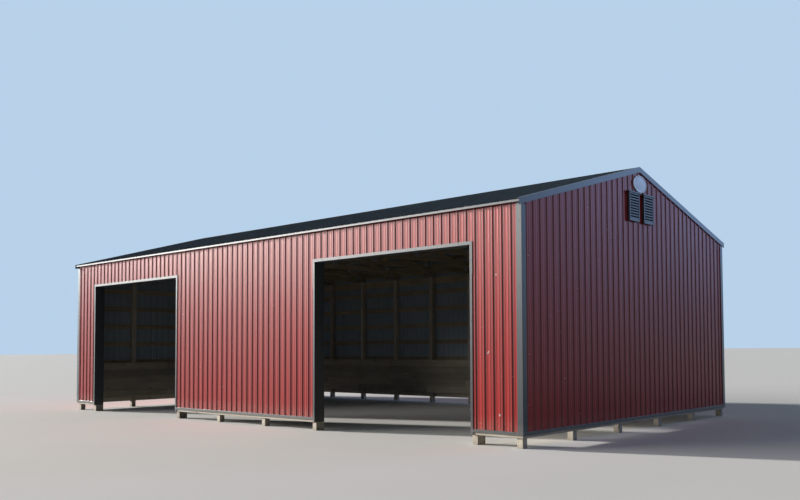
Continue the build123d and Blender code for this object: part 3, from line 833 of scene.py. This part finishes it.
# A trim made up of stock lengths, every other one tucked in under its neighbours at a short lap
def stock_strips(total, profile, start, end, place, outside, tuck, cuts=()):
    count = ceil((end - start) / stock_length)
    step = (end - start) / count
    for number in range(count):
        shift = number % 2 * lap_tuck
        tucked = [(across + shift * tuck[0], up + shift * tuck[1]) for across, up in profile]
        first = start + number * step - (stock_lap if number else 0)
        bent_strip(total, tucked, first, start + (number + 1) * step, place, outside, cuts)


# Spots evenly spaced along a run, in the run's own axes, for screws that face one way
def screws_along(place, across, up, outward, start, end, every=trim_screw_every):
    count = max(1, round((end - start) / every))
    return [
        facing_spot(
            place, (across, up, start + (number + 0.5) * (end - start) / count), (*outward, 0),
        )
        for number in range(count)
    ]


mesh = bmesh.new()
spots = []
corner_profile = (
    (wall_x - corner_leg + hem_width, wall_y + trim_face - hem_fold),
    (wall_x - corner_leg, wall_y + trim_face - hem_fold),
    (wall_x - corner_leg, wall_y + trim_face),
    (wall_x + trim_face, wall_y + trim_face),
    (wall_x + trim_face, wall_y - corner_leg),
    (wall_x + trim_face - hem_fold, wall_y - corner_leg),
    (wall_x + trim_face - hem_fold, wall_y - corner_leg + hem_width),
)
top_profile = corner_profile[:3] + ((wall_x, wall_y + trim_face),)
for end in (-1, 1):
    for side in (-1, 1):
        corner = Matrix.Diagonal((end, side, 1, 1))
        stock_strips(mesh, corner_profile, base_bottom, gable_leg_top, corner, (1, 1), (-1, -1))
        bent_strip(mesh, top_profile, gable_leg_top, eave_bottom, corner, (0, 1))
        for across, up, outward in (
            (wall_x - first_rib, wall_y + trim_face, (0, 1)),
            (wall_x + trim_face, wall_y - first_rib, (1, 0)),
        ):
            spots += screws_along(corner, across, up, outward, base_bottom, gable_leg_top)
piece("corner_trim_strips", mesh, [trim_steel], "charcoal_trim", "corner_trims")
set_screws("corner_trim_screws", spots, trim_screw_paint, "charcoal_trim")

# Eave trims: a soffit strip, a face and a flange that slips under the roof sheets. The same
# charcoal steel, in stock lengths lapped one under the other, nailed under the sheets.
eave_reach = 0.070
eave_flange = 0.002
eave_seat = 0.0005


# Frame for strips along the building, the profile's first axis out of the wall, its second up
def run_along(side=1, out=0.0, up=0.0):
    return axes_at((0, out, up), (0, side, 0), (0, 0, 1), (1, 0, 0))


eave_profile = (
    (wall_y, eave_bottom),
    (wall_y + eave_reach, eave_bottom),
    (wall_y + eave_reach, ridge_under - (wall_y + eave_reach) * roof_slope - eave_seat),
    (wall_y + eave_flange, ridge_under - (wall_y + eave_flange) * roof_slope - eave_seat),
)
mesh = bmesh.new()
for side in (-1, 1):
    stock_strips(mesh, eave_profile, -wall_x, wall_x, run_along(side), (1, 0), (-1, 1))
piece("eave_trim_strips", mesh, [trim_steel], "charcoal_trim", "eave_trims")

# Rake trims: a flange over the roof's last ribs, a deep face and a return to the gable. They
# run from the ridge to the drip edge, cut plumb at both, with screws through the flange.
rake_reach = 0.015
rake_flange = 0.075
rake_set_back = 0.0005
eave_y = -roof_low.y
rake_screw_line = wall_x - 0.018
rake_screws_from = 0.25
rake_screws_to = slope_length - 0.1
rake_profile = (
    (wall_x, rake_bottom),
    (wall_x + rake_reach, rake_bottom),
    (wall_x + rake_reach, sheet_depth + trim_face),
    (wall_x + rake_reach - rake_flange, sheet_depth + trim_face),
)
for name, side in (("front", -1), ("back", 1)):
    mesh = bmesh.new()
    spots = []
    drip_edge = (0, side * (eave_y - rake_set_back), 0)
    cuts = (((0, 0, 0), (0, -side, 0)), (drip_edge, (0, side, 0)))
    for end in (-1, 1):
        place = slope_frame(side, end)
        foot = slope_length + rake_face
        stock_strips(mesh, rake_profile, -rake_face, foot, place, (1, 0), (-1, -1), cuts)
        spots += screws_along(
            place, rake_screw_line, sheet_depth + trim_face, (0, 1),
            rake_screws_from, rake_screws_to, rib_pitch,
        )
    piece(f"{name}_rake_trim_strips", mesh, [trim_steel], "charcoal_trim", f"{name}_rake_trims")
    set_screws(f"{name}_rake_trim_screws", spots, trim_screw_paint, "charcoal_trim")

# Base trims: channels bent from the same charcoal steel, nailed to the skirt boards. They carry
# the cut ends of the siding and shed water clear of the timber.
siding_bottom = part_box("back_siding")[0].z
channel_gap = 0.022
channel_drop = 0.0006
channel = (
    (-sheet_depth, base_bottom),
    (0, base_bottom),
    (0, siding_bottom),
    (-sheet_depth, siding_bottom - channel_drop),
)


# Frame for strips across the building, set the same way
def run_across(side=1, out=0.0):
    return axes_at((out, 0, 0), (side, 0, 0), (0, 0, 1), (0, 1, 0))


mesh = bmesh.new()
for name in ("front_siding_left", "front_siding_middle", "front_siding_right", "back_siding"):
    low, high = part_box(name)
    side = -1 if low.y < 0 else 1
    start = max(low.x, sheet_depth - wall_x)
    end = min(high.x, wall_x - sheet_depth)
    place = run_along(side, side * wall_y)
    stock_strips(mesh, channel, start, end, place, (1, 0), (-1, 0))
for side in (-1, 1):
    start, end = channel_gap - wall_y, wall_y - channel_gap
    place = run_across(side, side * wall_x)
    stock_strips(mesh, channel, start, end, place, (1, 0), (-1, 0))
piece("base_trim_channels", mesh, [trim_steel], "charcoal_trim", "base_trims")

# Doorway trims: charcoal steel, bent and screwed on. Each jamb has a leg on the siding, a reveal
# round the posts and a return inside, its top two feet a wider length lapped over the lower one.
# The head has a face strip across both jambs and a soffit under the carrier.
door_face = 0.070
door_return = 0.030
upper_jamb = 0.610
lower_leg = 0.061
lower_tuck = 0.0009
strip_return = 0.008
soffit_drop = 0.0006
jamb_screws_from = 0.1
jamb_low, jamb_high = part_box("door_jamb_trims")
jamb_foot, jamb_top = jamb_low.z, jamb_high.z
lower_top = jamb_top - upper_jamb
reveal = jamb_high.y - jamb_low.y - 2 * trim_face
door_edges = [
    (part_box("front_siding_left")[1].x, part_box("front_siding_middle")[0].x),
    (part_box("front_siding_middle")[1].x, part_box("front_siding_right")[0].x),
]


# Jamb profile: X towards the doorway, Y into the building
def jamb_profile(leg, tuck):
    return (
        (hem_width - leg, hem_fold + tuck - trim_face),
        (-leg, hem_fold + tuck - trim_face),
        (-leg, tuck - trim_face),
        (trim_face - tuck, tuck - trim_face),
        (trim_face - tuck, reveal + trim_face - tuck),
        (-door_return, reveal + trim_face - tuck),
    )


jambs = bmesh.new()
heads = bmesh.new()
spots = []
head_strip = (
    (hem_fold - trim_face, door_face - hem_width),
    (hem_fold - trim_face, door_face),
    (-trim_face, door_face),
    (-trim_face, 0.0),
    (strip_return, 0.0),
)
soffit = (
    (0.0, soffit_drop),
    (reveal + trim_face, soffit_drop),
    (reveal + trim_face, door_return),
)
for edges in door_edges:
    for edge, toward in zip(edges, (1, -1)):
        place = Matrix.Translation((edge, -wall_y, 0)) @ Matrix.Diagonal((toward, 1, 1, 1))
        lower = jamb_profile(lower_leg, lower_tuck)
        bent_strip(jambs, lower, jamb_foot, lower_top + stock_lap, place, (1, 0))
        bent_strip(jambs, jamb_profile(door_face, 0.0), lower_top, jamb_top, place, (1, 0))
        for across, up, outward in (
            (-door_face / 2, -trim_face, (0, -1)), (trim_face, reveal / 2, (1, 0)),
        ):
            start = jamb_foot + jamb_screws_from
            spots += screws_along(place, across, up, outward, start, jamb_top)
    place = run_along(1, -wall_y, jamb_top)
    bent_strip(heads, head_strip, edges[0] - door_face, edges[1] + door_face, place, (-1, 0))
    stock_strips(heads, soffit, edges[0], edges[1], place, (0, -1), (0, 0))
    spots += screws_along(place, -trim_face, door_face / 2, (-1, 0), edges[0], edges[1])
piece("door_jamb_strips", jambs, [trim_steel], "charcoal_trim", "door_jamb_trims")
piece("door_head_strips", heads, [trim_steel], "charcoal_trim", "door_head_trims")
set_screws("door_trim_screws", spots, trim_screw_paint, "charcoal_trim")

# Ridge cap: charcoal strips bent over the crests of both slopes, hemmed along their edges and
# screwed to every other rib, with dark foam closures in the ribs below them.
ridge_flange = 0.180
closure_edge = 0.002
closure_seat = 0.001
closure_top = ridge_flange - 0.045
closure_foot = ridge_flange - 0.025
cap_screw_line = ridge_flange - 0.035
washer_seat = 0.0012
cap_hem = 0.0036
cap_seat = 0.0012
foam_dark = (0.012, 0.012, 0.013, 1)
foam_grey = (0.04, 0.04, 0.042, 1)
cap_low, cap_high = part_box("ridge_cap")
cap_reach = cap_high.y
ridge_crest = ridge_under + sheet_depth / cos(roof_angle)
cap_profile = [
    (side * (cap_reach - across), ridge_crest - (cap_reach - across) * roof_slope + rise)
    for side in (-1, 1)
    for across, rise in ((hem_width, cap_hem), (seat_gap, cap_hem), (seat_gap, cap_seat))
]
cap_profile = cap_profile[:3] + [(0.0, cap_high.z)] + cap_profile[:2:-1]
mesh = bmesh.new()
stock_strips(mesh, cap_profile, cap_low.x, cap_high.x, run_along(), (0, 1), (0, -1))
piece("ridge_cap_strips", mesh, [roof_steel], "charcoal_roofing", "ridge_cap")
closure_foam, shader, place = finish("closure_foam", {"Specular IOR Level": 0.2})
pores = cells(place, 500.0)
colour = blend_colour(pores, foam_dark, foam_grey)
dress(shader, colour, spread(pores, 0.0, 0.8, 0.8, 0.95))
mesh = bmesh.new()
spots = []
for side in (-1, 1):
    slope = slope_frame(side, -side)
    strip = bmesh.new()
    first = (cap_low.x, closure_seat, closure_top)
    add_block(strip, first, (cap_high.x, sheet_depth, closure_foot))
    ease_edges(strip, strip.edges[:], closure_edge)
    bmesh.ops.transform(strip, matrix=slope, verts=strip.verts)
    add_mesh(mesh, strip)
    for number in range(1, floor(length / rib_pitch), 2):
        along = wall_x - number * rib_pitch
        spots.append(facing_spot(slope, (along, sheet_depth + washer_seat, cap_screw_line)))
piece("ridge_closures", mesh, [closure_foam], "charcoal_roofing")
set_screws("ridge_cap_screws", spots, roof_screw_paint, "charcoal_roofing")

# Gable vents: two louvred boxes of painted sheet on the gable, side by side, each with a rimmed
# frame, nine sloped slats over a screen painted near black as shade, and a small hood folded over
# its top.
vent_coat = ((0.075, 0.115, 0.145, 1), (0.062, 0.095, 0.120, 1), (0.15, 0.17, 0.18, 1))
screen_shade_grey = (0.02, 0.022, 0.024, 1)
screen_shade_dark = (0.006, 0.006, 0.007, 1)
vent_stile = 0.036
vent_bottom_rail = 0.060
vent_top_rail = 0.035
vent_slats = 9
vent_depth = 0.055
vent_edge = 0.004
vent_screw_inset = 0.05
hood_side = 0.045
hood_height = 0.035
rail_set_back = 0.002
slat_set_back = 0.004
slat_foot = 0.002
slat_lip = 0.031
slat_rise = 0.038
slat_back = 0.012
screen_depth = 0.006
vent_paint = coated_steel("vent_paint", vent_coat, 0.38, streaks=0.3)
# A real screen, its near-black tone painted shade for the dark seen between the slats
vent_screen_shade, shader, place = finish(
    "vent_screen_shade", {"Specular IOR Level": 0.2, "Roughness": 0.8},
)
dress(shader, blend_colour(cells(place, 260.0), screen_shade_grey, screen_shade_dark))
for name in ("front_gable_vent", "back_gable_vent"):
    low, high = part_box(name)
    left, right = low.y + hood_side, high.y - hood_side
    first, last = left + vent_stile, right - vent_stile
    foot, head = low.z, high.z - hood_height
    sill, lintel = foot + vent_bottom_rail, head - vent_top_rail
    face_x = low.x + vent_depth
    rail_x = face_x - rail_set_back
    mesh = bmesh.new()
    add_block(mesh, (low.x, left, foot), (face_x, first, head))
    add_block(mesh, (low.x, last, foot), (face_x, right, head))
    add_block(mesh, (low.x, first, foot), (rail_x, last, sill))
    add_block(mesh, (low.x, first, lintel), (rail_x, last, head))
    add_block(mesh, (low.x, low.y, head), (high.x, high.y, high.z))
    ease_edges(mesh, mesh.edges[:], vent_edge, segments=2)
    for number in range(vent_slats):
        rise = sill + number * (lintel - sill) / vent_slats
        slat = (
            (face_x - slat_set_back, rise + slat_foot),
            (face_x - slat_set_back, rise + slat_lip),
            (low.x + slat_back, rise + slat_rise),
        )
        bent_strip(mesh, slat, first, last, run_across(), (1, 0))
    screen = add_block(mesh, (low.x, first, sill), (low.x + screen_depth, last, lintel))
    for panel in {panel for corner in screen for panel in corner.link_faces}:
        panel.material_index = 1
    piece(f"{name}_louvre", mesh, [vent_paint, vent_screen_shade], "vent_metal", name)
    spots = [
        (Vector((face_x, y, z)), Vector((1, 0, 0)))
        for y in (left + vent_stile / 2, right - vent_stile / 2)
        for z in (foot + vent_screw_inset, (foot + head) / 2, head - vent_screw_inset)
    ]
    set_screws(f"{name}_screws", spots, trim_screw_paint, "vent_metal")

# Plaque: a plain oval plate of enamelled steel under the ridge, blank, with a raised rolled
# rim round a slightly domed middle and four round-headed screws.
enamel_pale = (0.84, 0.87, 0.89, 1)
enamel_grey = (0.76, 0.80, 0.83, 1)
drip_grey = (0.45, 0.46, 0.45, 1)
plaque_low, plaque_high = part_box("gable_plaque")
plaque_middle = (plaque_low + plaque_high) / 2
plaque_half = (plaque_high - plaque_low) / 2
plaque_depth = plaque_high.x - plaque_low.x
rim_rise = 0.002
rim_width = 0.020
# Steps inwards from the rim, each as its width and its rise: down behind it, then the dome
plaque_steps = ((0.004, -0.005), (0.045, 0.003), (0.040, 0.002))
plaque_edge = 0.0016
plaque_screw_ring = 0.74
plaque_screw_depth = 0.0056
plaque_screw_radius = 0.008
mesh = bmesh.new()
lying = Matrix.Translation((plaque_low.x, plaque_middle.y, plaque_middle.z))
lying = lying @ Matrix.Rotation(pi / 2, 4, "Y")
bmesh.ops.create_circle(
    mesh, cap_ends=True, segments=72, radius=1.0,
    matrix=lying @ Matrix.Diagonal((plaque_half.z, plaque_half.y, 1, 1)),
)
raised = bmesh.ops.extrude_face_region(mesh, geom=mesh.faces[:])["geom"]
front = [item for item in raised if isinstance(item, bmesh.types.BMFace)]
bmesh.ops.translate(mesh, verts=front[0].verts[:], vec=(plaque_depth - rim_rise, 0, 0))
bmesh.ops.inset_region(mesh, faces=front, thickness=rim_width, depth=0.0)
bmesh.ops.recalc_face_normals(mesh, faces=mesh.faces)
for step, rise in plaque_steps:
    bmesh.ops.inset_region(mesh, faces=front, thickness=step, depth=rise)
for face in mesh.faces:
    face.smooth = True
lip = [
    edge for edge in mesh.edges
    if len(edge.link_faces) == 2 and edge.calc_face_angle() > radians(35)
]
ease_edges(mesh, lip, plaque_edge, segments=2)
plaque_enamel, shader, place = finish(
    "plaque_enamel", {"Coat Weight": 0.4, "Coat Roughness": 0.12},
)
clouds = noise(place, 9.0, 4.0)
drips = spread(noise(stretch(place, (40, 40, 3)), 1.0, 4.0), 0.5, 0.75, 0, 0.35)
colour = blend_colour(spread(clouds, 0.3, 0.7, 0, 1), enamel_pale, enamel_grey)
colour = blend_colour(drips, colour, drip_grey)
dress(shader, colour, spread(clouds, 0.3, 0.7, 0.25, 0.4), clouds, 0.3)
for turn in (45, 135, 225, 315):
    across = plaque_screw_ring * plaque_half.y * cos(radians(turn))
    rise = plaque_screw_ring * plaque_half.z * sin(radians(turn))
    head = Matrix.Translation((
        plaque_high.x - plaque_screw_depth, plaque_middle.y + across, plaque_middle.z + rise,
    ))
    bmesh.ops.create_uvsphere(
        mesh, u_segments=12, v_segments=8, radius=plaque_screw_radius,
        matrix=head @ Matrix.Diagonal((0.7, 1, 1, 1)),
    )
piece("gable_plaque_plate", mesh, [plaque_enamel], "plaque_enamel", "gable_plaque")

# Nail plates, bolts and nails: galvanised steel. A toothed plate is pressed over each joint on
# both faces of a truss, two bolts with washers hold the carriers to each post head, and two
# nails fix every lining plank at every post.
plate_thickness = 0.001
teeth_every = 0.012
bolt_inset = 0.11
back_bolt_inset = 0.06
bolt_aside = 0.03
nail_inset = 0.05
head_taper = 0.93
heel_inset = 0.30
web_inset = 0.045
peak_drop = 0.091
same_face = 0.001
zinc_dark = (0.42, 0.44, 0.46, 1)
zinc_pale = (0.60, 0.62, 0.64, 1)
zinc_stain = (0.26, 0.17, 0.10, 1)
zinc_hole = (0.10, 0.09, 0.08, 1)
zinc, shader, place = finish("galvanised_steel", {"Metallic": 0.8})
tree = shader.id_data
flakes = node(tree, "ShaderNodeTexVoronoi", {"Vector": place, "Scale": 130.0}).outputs["Color"]
flake_tone = node(tree, "ShaderNodeSeparateColor", {0: flakes}).outputs[0]
stains = spread(noise(place, 18.0, 4.0), 0.56, 0.7, 0, 0.6)
punched = spread(cells(place, 1 / teeth_every, Randomness=0.0), 0.16, 0.24, 1, 0)
colour = blend_colour(flake_tone, zinc_dark, zinc_pale)
colour = blend_colour(stains, colour, zinc_stain)
colour = blend_colour(punched, colour, zinc_hole)
rough = spread(flake_tone, 0, 1, 0.38, 0.58)
dress(shader, colour, rough, punched, 0.4, invert=True)

# The truss joints on one truss: place across the building, height, width and height of plate
chord_end, chord_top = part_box("truss_bottom_chords")[1].yz
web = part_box("truss_uprights")[1].y - web_inset
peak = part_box("front_top_chords")[1].z - peak_drop
joints = [(0.0, peak, 0.16, 0.12), (0.0, chord_top, 0.26, 0.12)]
for side in (-1, 1):
    joints += [
        (side * (chord_end - heel_inset), chord_top, 0.26, 0.12),
        (side * web, chord_top, 0.12, 0.12),
        (side * (web - 0.05), peak - web * roof_slope - 0.03, 0.24, 0.13),
    ]
truss_spans = solid_spans("truss_bottom_chords", 0)
truss_end = truss_spans[-1][1]
mesh = bmesh.new()
for span in truss_spans:
    for face, outward in zip(span, (-1, 1)):
        if abs(face) > truss_end - same_face:
            continue
        first, last = sorted((face, face + outward * plate_thickness))
        for across, rise, wide, tall in joints:
            low = (first, across - wide / 2, rise - tall / 2)
            add_block(mesh, low, (last, across + wide / 2, rise + tall / 2))
piece("truss_nail_plates", mesh, [zinc], "framing_timber")


# Steps of a plain head, each given as sides, radius, foot and top, and slightly tapered
def plain_steps(*steps):
    return [
        (sides, radius, head_taper * radius, foot, top, 0) for sides, radius, foot, top in steps
    ]


# Middles of a wall's posts along an axis
def post_middles(axis, *names):
    return [sum(span) / 2 for name in names for span in solid_spans(name, axis)]


bolt = turned_head("bolt", plain_steps(
    (12, 0.022, 0.0, 0.003), (6, 0.014, 0.003, 0.013), (8, 0.006, 0.013, 0.022),
))
carrier_low, carrier_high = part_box("front_carriers")
back_low, back_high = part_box("back_carriers")
back_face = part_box("back_posts")[0].y
back_middles = post_middles(0, "back_posts", "corner_posts")
rows = (
    (
        post_middles(0, "front_posts", "corner_posts"), carrier_high.y, 1,
        carrier_low.z + bolt_inset, carrier_high.z - bolt_inset,
    ),
    (back_middles, back_face, -1, back_low.z + back_bolt_inset, back_high.z - back_bolt_inset),
)
spots = [
    (Vector((middle + aside * bolt_aside, face, rise)), Vector((0, outward, 0)))
    for middles, face, outward, lower, upper in rows
    for middle in middles
    for aside, rise in ((-1, lower), (1, upper))
]
set_copies("carrier_bolts", bolt, spots, [zinc], "framing_timber")

nail = turned_head("nail", plain_steps((8, 0.005, 0.0, 0.0008)))
walls = (
    ("front_lining", 0, 1, post_middles(0, "front_posts", "door_posts", "corner_posts")),
    ("back_lining", 0, -1, back_middles),
    ("left_gable_lining", 1, 1, post_middles(1, "left_gable_posts")),
    ("right_gable_lining", 1, -1, post_middles(1, "right_gable_posts")),
)
spots = []
for name, axis, outward, middles in walls:
    low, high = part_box(name)
    face = (high if outward > 0 else low)[1 - axis]
    spans = solid_spans(name, axis)
    for middle in middles:
        if not any(start + nail_inset < middle < end - nail_inset for start, end in spans):
            continue
        for number in range(courses):
            for rise in (nail_inset, course - nail_inset):
                spot = wall_point(axis, middle, face, low.z + number * course + rise)
                spots.append((spot, wall_point(axis, 0, outward, 0)))
set_copies("lining_nails", nail, spots, [zinc], "lining_timber")
